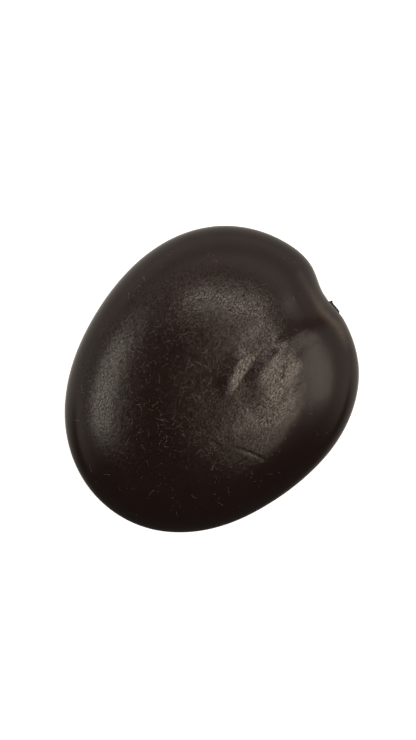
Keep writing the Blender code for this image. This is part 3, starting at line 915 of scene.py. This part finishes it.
# %% Grow the coat and hollow it
bare = grow("coat_outside", skin_tree, {"Rim": rim_line, "Points Across": 182, "Points High": 28})
coat = grow("coat", relief_tree, {"Material": finishes["coat"]}, bare.data)
bpy.data.objects.remove(bare)
cavity = grow("coat_cavity", skin_tree, {
    "Rim": rim_line, "Points Across": 56, "Points High": 12,
    "Rim Depth": HARD_COAT, "Face Depth": HARD_COAT,
})
slot_half_width = (cushion_high.x - cushion_low.x) / 2 + GAP
slot_half_height = (cushion_high.z - cushion_low.z) / 2 + GAP
slot_cutter = oval_pin("slot_cutter", slot_half_width, slot_half_height, hilum)
pin_cutter = oval_pin("pin_cutter", MICROPYLE_RADIUS, MICROPYLE_RADIUS, micropyle)
cut(coat, [cavity, slot_cutter, pin_cutter])
shade_smooth(coat, 50.0)
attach(coat, "root")
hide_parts("hard_coat")
print(f"coat after cutting: {len(coat.data.polygons)} faces")


# %% [markdown]
# ## The torn stalk
#
# The stalk that fed the seed broke off at the rim. What is left fills an oval slot and ends in a
# torn, fibrous face, with one splinter standing up at the end nearest the keel's crest. Rings of
# points make the body, noise tears its end, and short loose fibres stand out of it.

# %% Make the torn stalk
SPLINTER_AT = -1.05 * MM  # along the rim from the slot's middle
SPLINTER_HALF_WIDTH = 0.24 * MM
SPLINTER_HEIGHT = 0.34 * MM
TORN_HEIGHT = 0.16 * MM  # of the rest of the torn end, above the rim
STALK_SIDES = 72
STALK_FIBRES = 46


def torn_height(x, z):
    """How far the torn end stands out at this place across it."""
    splinter = SPLINTER_HEIGHT * math.exp(-(((x - SPLINTER_AT) / SPLINTER_HALF_WIDTH) ** 2))
    fall = 1.0 - min(1.0, abs(x) / stalk_high.x) ** 2
    coarse = solid_noise.noise(Vector((x, 0.0, z)) / (0.30 * MM))
    fine = solid_noise.noise(Vector((x, 1 * MM, z)) / (0.09 * MM))
    return TORN_HEIGHT * fall + splinter + 0.09 * MM * coarse + 0.05 * MM * fine


def stalk_point(turn, share, y):
    """A place across the stalk, with ridges of fibres round its side."""
    ridges = 1.0 + 0.03 * math.sin(17 * turn) + 0.02 * math.sin(31 * turn + 1.0)
    half = (stalk_high - stalk_low) / 2 * share * ridges
    return Vector((half.x * math.cos(turn), y, half.z * math.sin(turn)))


def add_fibre(bm, root, tip, radius):
    """A three-sided spike from root to tip."""
    along = (tip - root).normalized()
    side = along.orthogonal()
    base = [bm.verts.new(root + radius * (Matrix.Rotation(t, 3, along) @ side)) for t in round_turns(3)]
    end = bm.verts.new(tip)
    bm.faces.new(base)
    for i in range(3):
        bm.faces.new((base[i], base[(i + 1) % 3], end))


def torn_stalk():
    turns = round_turns(STALK_SIDES)
    bm = bmesh.new()
    inner_end = stalk_low.y
    body = [(0.30, inner_end), (0.70, inner_end), (0.92, inner_end), (1.0, inner_end * 0.85)]
    body += [(1.0, -0.55 * MM), (1.0, -0.35 * MM), (1.0, -0.20 * MM)]
    rings = [[bm.verts.new(stalk_point(turn, share, y)) for turn in turns] for share, y in body]
    for share in (0.97, 0.90, 0.80, 0.66, 0.50, 0.34, 0.18):
        ring = []
        for turn in turns:
            flat = stalk_point(turn, share, 0.0)
            rise = min(1.0, (1.0 - share) / 0.15)
            flat.y = -0.1 * MM + (torn_height(flat.x, flat.z) + 0.1 * MM) * rise
            ring.append(bm.verts.new(flat))
        rings.append(ring)
    add_ring_faces(bm, rings)
    draw = random.Random(5)
    for _ in range(STALK_FIBRES):
        root = stalk_point(draw.uniform(0, 2 * math.pi), math.sqrt(draw.random()) * 0.85, 0.0)
        root.y = torn_height(root.x, root.z) - 0.08 * MM
        lean = Vector((draw.uniform(-0.5, 0.5), 1.0, draw.uniform(-0.5, 0.5)))
        tip = root + lean.normalized() * draw.uniform(0.12, 0.26) * MM
        add_fibre(bm, root, tip, draw.uniform(0.018, 0.035) * MM)
    made = mesh_object("torn_stalk", bm, hilum)
    made.data.materials.append(finishes["stalk"])
    shade_smooth(made, 40.0)
    return made


torn = torn_stalk()
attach(torn, "root")
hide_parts("funicle_stub")
print(f"torn stalk: {len(torn.data.polygons)} faces")

# %% [markdown]
# ## The corky ring round the stalk
#
# A ring of soft cork fills the gap between the stalk and its slot. It is a boxy tube, bent round an
# oval, and its surface is pitted where the cork cells have broken open.

# %% Make the corky ring
CUSHION_WALL = 0.45 * MM
CORK_TURNS = 120
CORK_SECTION = 22


def boxy(turn):
    """A place on a rounded square, 1 from its middle to its sides."""
    return [math.copysign(abs(part) ** 0.5, part) for part in (math.cos(turn), math.sin(turn))]


def corky_ring():
    half = (cushion_high - cushion_low) / 2
    middle_x = half.x - CUSHION_WALL / 2
    middle_z = half.z - CUSHION_WALL / 2
    middle_y = (cushion_low.y + cushion_high.y) / 2
    bm = bmesh.new()
    rings = []
    for turn in round_turns(CORK_TURNS):
        outward = Vector((math.cos(turn) / middle_x, 0.0, math.sin(turn) / middle_z)).normalized()
        centre = Vector((middle_x * math.cos(turn), middle_y, middle_z * math.sin(turn)))
        ring = []
        for section_turn in round_turns(CORK_SECTION):
            across, deep = boxy(section_turn)
            point = centre + outward * across * CUSHION_WALL / 2 + Vector((0.0, deep * half.y, 0.0))
            pit = solid_noise.noise(point / (0.16 * MM))
            point -= (point - centre) * (0.10 + 0.16 * max(0.0, pit))
            ring.append(bm.verts.new(point))
        rings.append(ring)
    add_ring_faces(bm, rings + rings[:1], closed_ends=False)
    made = mesh_object("corky_ring", bm, hilum)
    made.data.materials.append(finishes["cushion"])
    shade_smooth(made)
    return made


cork = corky_ring()
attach(cork, "root")
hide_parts("hilum_cushion")
print(f"corky ring: {len(cork.data.polygons)} faces")

# %% [markdown]
# ## The strand of vessels
#
# Sap came through the stalk and ran round the seed in a strand of fine vessels, laid in a groove of
# the spongy layer. A Geometry Nodes tree winds a few vessels round one route, as a rope is laid.

# %% The tree that lays a rope of vessels along a route
rope_tree, given = new_group(
    "lay_vessels", "GeometryNodeTree",
    [
        ("Route", "Object", None), ("Vessels", "Int", 6), ("Strand Radius", "Float", 0.4 * MM),
        ("Vessel Radius", "Float", 0.15 * MM), ("Lay Length", "Float", 9 * MM),
        ("Step", "Float", 0.5 * MM), ("Material", "Material", None),
    ],
    [("Geometry", "Geometry")],
)
route = node(rope_tree, "GeometryNodeObjectInfo", {"Object": given["Route"]}).outputs["Geometry"]
route = node(rope_tree, "GeometryNodeResampleCurve", {
    "Curve": route, "Length": given["Step"],
}, mode="LENGTH").outputs[0]
copies = node(rope_tree, "GeometryNodeDuplicateElements", {
    "Geometry": route, "Amount": given["Vessels"],
}, domain="SPLINE")
copy_number = Term(rope_tree, copies.outputs[1])
run = Term(rope_tree, node(rope_tree, "GeometryNodeSplineParameter").outputs["Length"])
lay = (run / given["Lay Length"] + copy_number / given["Vessels"]) * (2 * math.pi)
tangent = node(rope_tree, "GeometryNodeInputTangent").outputs[0]
sideways = node(rope_tree, "ShaderNodeVectorMath", {
    0: tangent, 1: (0.0, 0.0, 1.0),
}, operation="CROSS_PRODUCT")
throw = given["Strand Radius"] - given["Vessel Radius"]
side_part = scaled(rope_tree, sideways.outputs[0], calc("COSINE", lay) * throw)
up_part = vector_of(rope_tree, 0.0, 0.0, calc("SINE", lay) * throw)
offset = node(rope_tree, "ShaderNodeVectorMath", {0: side_part, 1: up_part})
wound = node(rope_tree, "GeometryNodeSetPosition", {
    "Geometry": copies.outputs[0], "Offset": offset.outputs[0],
})
profile = node(rope_tree, "GeometryNodeCurvePrimitiveCircle", {
    "Resolution": 6, "Radius": given["Vessel Radius"],
})
vessels = node(rope_tree, "GeometryNodeCurveToMesh", {
    "Curve": wound.outputs[0], "Profile Curve": profile.outputs[0], "Fill Caps": True,
})
vessels = node(rope_tree, "GeometryNodeSetShadeSmooth", {"Geometry": vessels.outputs[0]})
end_geometry(rope_tree, vessels.outputs[0], given["Material"])

# %% Lay the strand from the stalk, round the far side, to near the pinhole
STRAND_RADIUS = 0.4 * MM
STRAND_DEPTH = HARD_COAT + GAP + STRAND_RADIUS  # from the rim to the strand's middle
STRAND_STOPS_SHORT = 6.0  # degrees before the pinhole


stop = RIM_POINTS * (360.0 + MICROPYLE_FROM_HILUM - STRAND_STOPS_SHORT) / 360.0
route_points = []
for i in range(0, int(stop), 3):
    edge = rim_points[(hilum_index + i) % RIM_POINTS]
    inset = edge * (1.0 - STRAND_DEPTH / edge.length)
    route_points.append(Vector((inset.x, inset.y, RIM_HEIGHT)))
strand = grow("vessel_strand", rope_tree, {
    "Route": line_object("strand_route", route_points), "Strand Radius": STRAND_RADIUS,
    "Material": finishes["strand"],
})
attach(strand, "root")
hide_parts("raphe_strand")


# %% [markdown]
# ## Scuffs and lint
#
# Fine pale hairs cling to the wax on the upper face, mostly over its flat middle. They are far too
# many to lay by hand. A Geometry Nodes tree scatters short curved lines on the coat, lets each one
# follow the wrinkles under it, and gives it three sides, which is enough for a hair.

# %% The tree that lays the hairs
hair_tree, given = new_group(
    "lay_hairs", "GeometryNodeTree",
    [
        ("Surface", "Object", None), ("Hairs per Square Metre", "Float", 1.7e6), ("Seed", "Int", 4),
        ("Middle X", "Float", CROWN.x), ("Middle Y", "Float", CROWN.y), ("Spread", "Float", 12 * MM),
        ("Shortest", "Float", 0.25 * MM), ("Longest", "Float", 1.4 * MM),
        ("Radius", "Float", 0.0125 * MM), ("Material", "Material", None),
    ],
    [("Geometry", "Geometry")],
)
surface = node(hair_tree, "GeometryNodeObjectInfo", {"Object": given["Surface"]}).outputs["Geometry"]
place = node(hair_tree, "GeometryNodeInputPosition").outputs[0]
x, y, z = xyz(hair_tree, place)
_, _, facing_up = xyz(hair_tree, node(hair_tree, "GeometryNodeInputNormal").outputs[0])
away = across_level(x - given["Middle X"], y - given["Middle Y"])
outside = calc("GREATER_THAN", z, RIM_HEIGHT + 4.0 * MM) * calc("GREATER_THAN", facing_up, 0.5)
clumps = step(noise(hair_tree, place, 260.0), -0.12, 0.12)
share = (bell(away, given["Spread"]) + 0.03) * outside * (0.35 + clumps)
scatter = node(hair_tree, "GeometryNodeDistributePointsOnFaces", {
    "Mesh": surface, "Density": share * given["Hairs per Square Metre"], "Seed": given["Seed"],
})
hair = node(hair_tree, "GeometryNodeCurveQuadraticBezier", {
    "Resolution": 6, "Start": (-0.5, 0.0, 0.0), "Middle": (0.05, 0.5, 0.0), "End": (0.5, 0.0, 0.0),
})


def drawn(low, high, seed):
    """A random number for each hair."""
    made = node(hair_tree, "FunctionNodeRandomValue", {2: low, 3: high, "Seed": seed}, data_type="FLOAT")
    return Term(hair_tree, made.outputs[1])


longer = given["Longest"] - given["Shortest"]
length = drawn(0.0, 1.0, given["Seed"]) ** 2.0 * longer + given["Shortest"]
bend = drawn(-1.0, 1.0, 11)
hairs = node(hair_tree, "GeometryNodeInstanceOnPoints", {
    "Points": scatter.outputs["Points"], "Instance": hair.outputs[0],
    "Rotation": scatter.outputs["Rotation"],
    "Scale": vector_of(hair_tree, length, length * bend * 0.4, length),
})
spin = drawn(0.0, 6.28, 23)
hairs = node(hair_tree, "GeometryNodeRotateInstances", {
    "Instances": hairs.outputs[0], "Rotation": vector_of(hair_tree, 0.0, 0.0, spin),
})
hairs = node(hair_tree, "GeometryNodeRealizeInstances", {"Geometry": hairs.outputs[0]})
under = node(hair_tree, "GeometryNodeProximity", {0: surface}, target_element="FACES")
lifted = node(hair_tree, "ShaderNodeVectorMath", {
    0: under.outputs["Position"], 1: vector_of(hair_tree, 0.0, 0.0, given["Radius"] * 0.6),
})
hairs = node(hair_tree, "GeometryNodeSetPosition", {
    "Geometry": hairs.outputs[0], "Position": lifted.outputs[0],
})
profile = node(hair_tree, "GeometryNodeCurvePrimitiveCircle", {
    "Resolution": 3, "Radius": given["Radius"],
})
hairs = node(hair_tree, "GeometryNodeCurveToMesh", {
    "Curve": hairs.outputs[0], "Profile Curve": profile.outputs[0], "Fill Caps": True,
})
end_geometry(hair_tree, hairs.outputs[0], given["Material"])

# %% Lay the hairs
lint = grow("lint", hair_tree, {"Surface": coat, "Material": finishes["scuffs"]})
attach(lint, "root")


# %% [markdown]
# ## Light and camera
#
# A dark, waxy thing is seen by what it reflects, so the lights are what shape it. From straight
# above, a slope of ten degrees mirrors the room twenty degrees from overhead. Each softbox is
# therefore placed by the angle it is seen at from the seed: how far from overhead, and how far round
# from the right of the picture. Overhead the room is dark, and that leaves the flat middle black.

# %% The camera looks straight down
LENS = 100.0  # millimetres, like the sensor
SENSOR = 36.0
FRAME_HEIGHT = 124.77 * MM  # what the picture spans at the rim's height
ROLL = math.radians(36.0)  # the right of the picture, turned from +X
OFF_CENTRE = (-0.45 * MM, 2.48 * MM)  # of the camera, to the picture's right and up

camera_data = bpy.data.cameras.new("camera")
camera_data.lens = LENS
camera_data.sensor_width = SENSOR
camera = link(bpy.data.objects.new("camera", camera_data))
picture_right = Vector((math.cos(ROLL), math.sin(ROLL), 0.0))
picture_up = Vector((-math.sin(ROLL), math.cos(ROLL), 0.0))
camera.location = picture_right * OFF_CENTRE[0] + picture_up * OFF_CENTRE[1]
camera.location.z = RIM_HEIGHT + FRAME_HEIGHT * LENS / SENSOR
camera.rotation_euler = Euler((0.0, 0.0, ROLL))
bpy.context.scene.camera = camera
bpy.context.scene.view_settings.view_transform = "Standard"
print(f"camera {camera.location.z / MM:.0f} mm up")

# %% Softboxes, placed by the angles they are seen at
SOFTBOX_FAR = 0.8  # metres
# name, degrees round from the picture's right, degrees from overhead, width and height in degrees,
# brightness, colour
SOFTBOXES = (
    ("window", -12.0, 23.5, 60.0, 18.5, 7.6, (1.0, 0.84, 0.68)),
    ("window_end", -49.0, 34.0, 16.0, 8.0, 3.6, (1.0, 0.86, 0.72)),
    ("top_softbox", 75.0, 23.2, 74.0, 6.5, 8.6, (1.0, 0.88, 0.75)),
    ("left_softbox", 174.0, 46.0, 50.0, 21.0, 3.5, (1.0, 0.93, 0.81)),
    ("right_softbox", 4.0, 48.0, 42.0, 19.0, 1.1, (1.0, 0.91, 0.80)),
)


def softbox(name, round_degrees, down_degrees, wide, tall, brightness, colour):
    light = bpy.data.lights.new(name, "AREA")
    light.shape = "RECTANGLE"
    ring = math.sin(math.radians(down_degrees))  # the width in degrees is measured round this ring
    light.size = 2 * SOFTBOX_FAR * math.tan(math.radians(wide / 2)) * ring
    light.size_y = 2 * SOFTBOX_FAR * math.tan(math.radians(tall / 2))
    light.energy = brightness * math.pi * light.size * light.size_y
    light.color = colour
    made = link(bpy.data.objects.new(name, light))
    aim = Euler((math.radians(down_degrees), 0.0, ROLL + math.radians(round_degrees + 90.0)))
    made.rotation_euler = aim
    made.location = aim.to_matrix() @ Vector((0.0, 0.0, SOFTBOX_FAR)) + Vector((0.0, 0.0, RIM_HEIGHT))
    made.visible_camera = False


for box in SOFTBOXES:
    softbox(*box)
print(f"{len(SOFTBOXES)} softboxes")

# %% The room round the seed
ROOM_DARK = 0.06  # how bright the ceiling is, and what the pale walls add to it
WALLS_ADD = 0.84


def mixed_value(tree, share, first, second):
    """A number that goes from the first to the second as the share rises."""
    return node(tree, "ShaderNodeMix", {0: share, 2: first, 3: second}, data_type="FLOAT").outputs[0]


def room():
    """Pale walls on three sides, a darker one at the bottom of the picture, and a dark ceiling."""
    world = bpy.data.worlds.new("room")
    world.use_nodes = True
    bpy.context.scene.world = world
    tree = world.node_tree
    tree.nodes.clear()
    dx, dy, dz = xyz(tree, node(tree, "ShaderNodeTexCoord").outputs["Generated"])
    down = calc("ARCCOSINE", clamped(dz, -1.0)) * (180.0 / math.pi)
    turn = calc("ARCTAN2", dy, dx) * (180.0 / math.pi) - math.degrees(ROLL)
    from_top = calc("ABSOLUTE", calc("WRAP", turn - 90.0, 180.0, -180.0))
    # From overhead downwards: dark, then the brightest band, then dimmer, then a little brighter
    band = step(down, 28.0, 44.0) - step(down, 50.0, 60.0, 0.0, 0.4) + step(down, 64.0, 78.0, 0.0, 0.2)
    walls = step(from_top, 95.0, 130.0, 1.0, 0.0) * band
    seen = node(tree, "ShaderNodeLightPath").outputs["Is Camera Ray"]
    brightness = mixed_value(tree, seen, ROOM_DARK + walls * WALLS_ADD, 1.0)
    colour = mixed(tree, seen, (1.0, 0.88, 0.77, 1.0), (1.0, 1.0, 1.0, 1.0))
    background = node(tree, "ShaderNodeBackground", {"Color": colour, "Strength": brightness})
    node(tree, "ShaderNodeOutputWorld", {"Surface": background.outputs[0]})


room()

# %% A pale floor
DARK_FLOOR = ROLL + math.radians(268.0)  # the side of the seed on which the floor lies in shade
FLOOR_SHADE = 0.07  # how bright the floor is there, and what the lit side adds
FLOOR_LIT = 0.52


def floor():
    """Pale to the eye. In the seed's reflections it is as dim as a table, and darkest on one side."""
    material = bpy.data.materials.new("floor")
    material.use_nodes = True
    tree = material.node_tree
    paper = tree.nodes["Principled BSDF"]
    paper.inputs["Base Color"].default_value = (0.7, 0.7, 0.7, 1.0)
    paper.inputs["Roughness"].default_value = 1.0
    paper.inputs["Emission Color"].default_value = (1.0, 1.0, 1.0, 1.0)
    paper.inputs["Emission Strength"].default_value = 0.8
    x, y, _ = xyz(tree, node(tree, "ShaderNodeTexCoord").outputs["Object"])
    dark_side = Vector((math.cos(DARK_FLOOR), math.sin(DARK_FLOOR)))
    lit = step(x * dark_side.x + y * dark_side.y, -8.0 * MM, 32.0 * MM, 1.0, 0.0)
    shade = node(tree, "ShaderNodeEmission", {
        "Color": (1.0, 0.9, 0.8, 1.0), "Strength": FLOOR_SHADE + lit * FLOOR_LIT,
    })
    seen = node(tree, "ShaderNodeLightPath").outputs["Is Camera Ray"]
    mix = node(tree, "ShaderNodeMixShader", {0: seen, 1: shade.outputs[0], 2: paper.outputs[0]})
    tree.links.new(mix.outputs[0], tree.nodes["Material Output"].inputs["Surface"])
    bm = bmesh.new()
    bmesh.ops.create_grid(bm, x_segments=1, y_segments=1, size=2.0)
    made = mesh_object("floor", bm)
    made.data.materials.append(material)
    made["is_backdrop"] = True


floor()

# %% Write the sizes and finish
VISUAL_BOX = [list(corner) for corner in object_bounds()]
for name, (low, high) in (("solids", CAD_BOX), ("finished", VISUAL_BOX)):
    print(name, " x ".join(f"{(b - a) / MM:.2f}" for a, b in zip(low, high)), "mm")
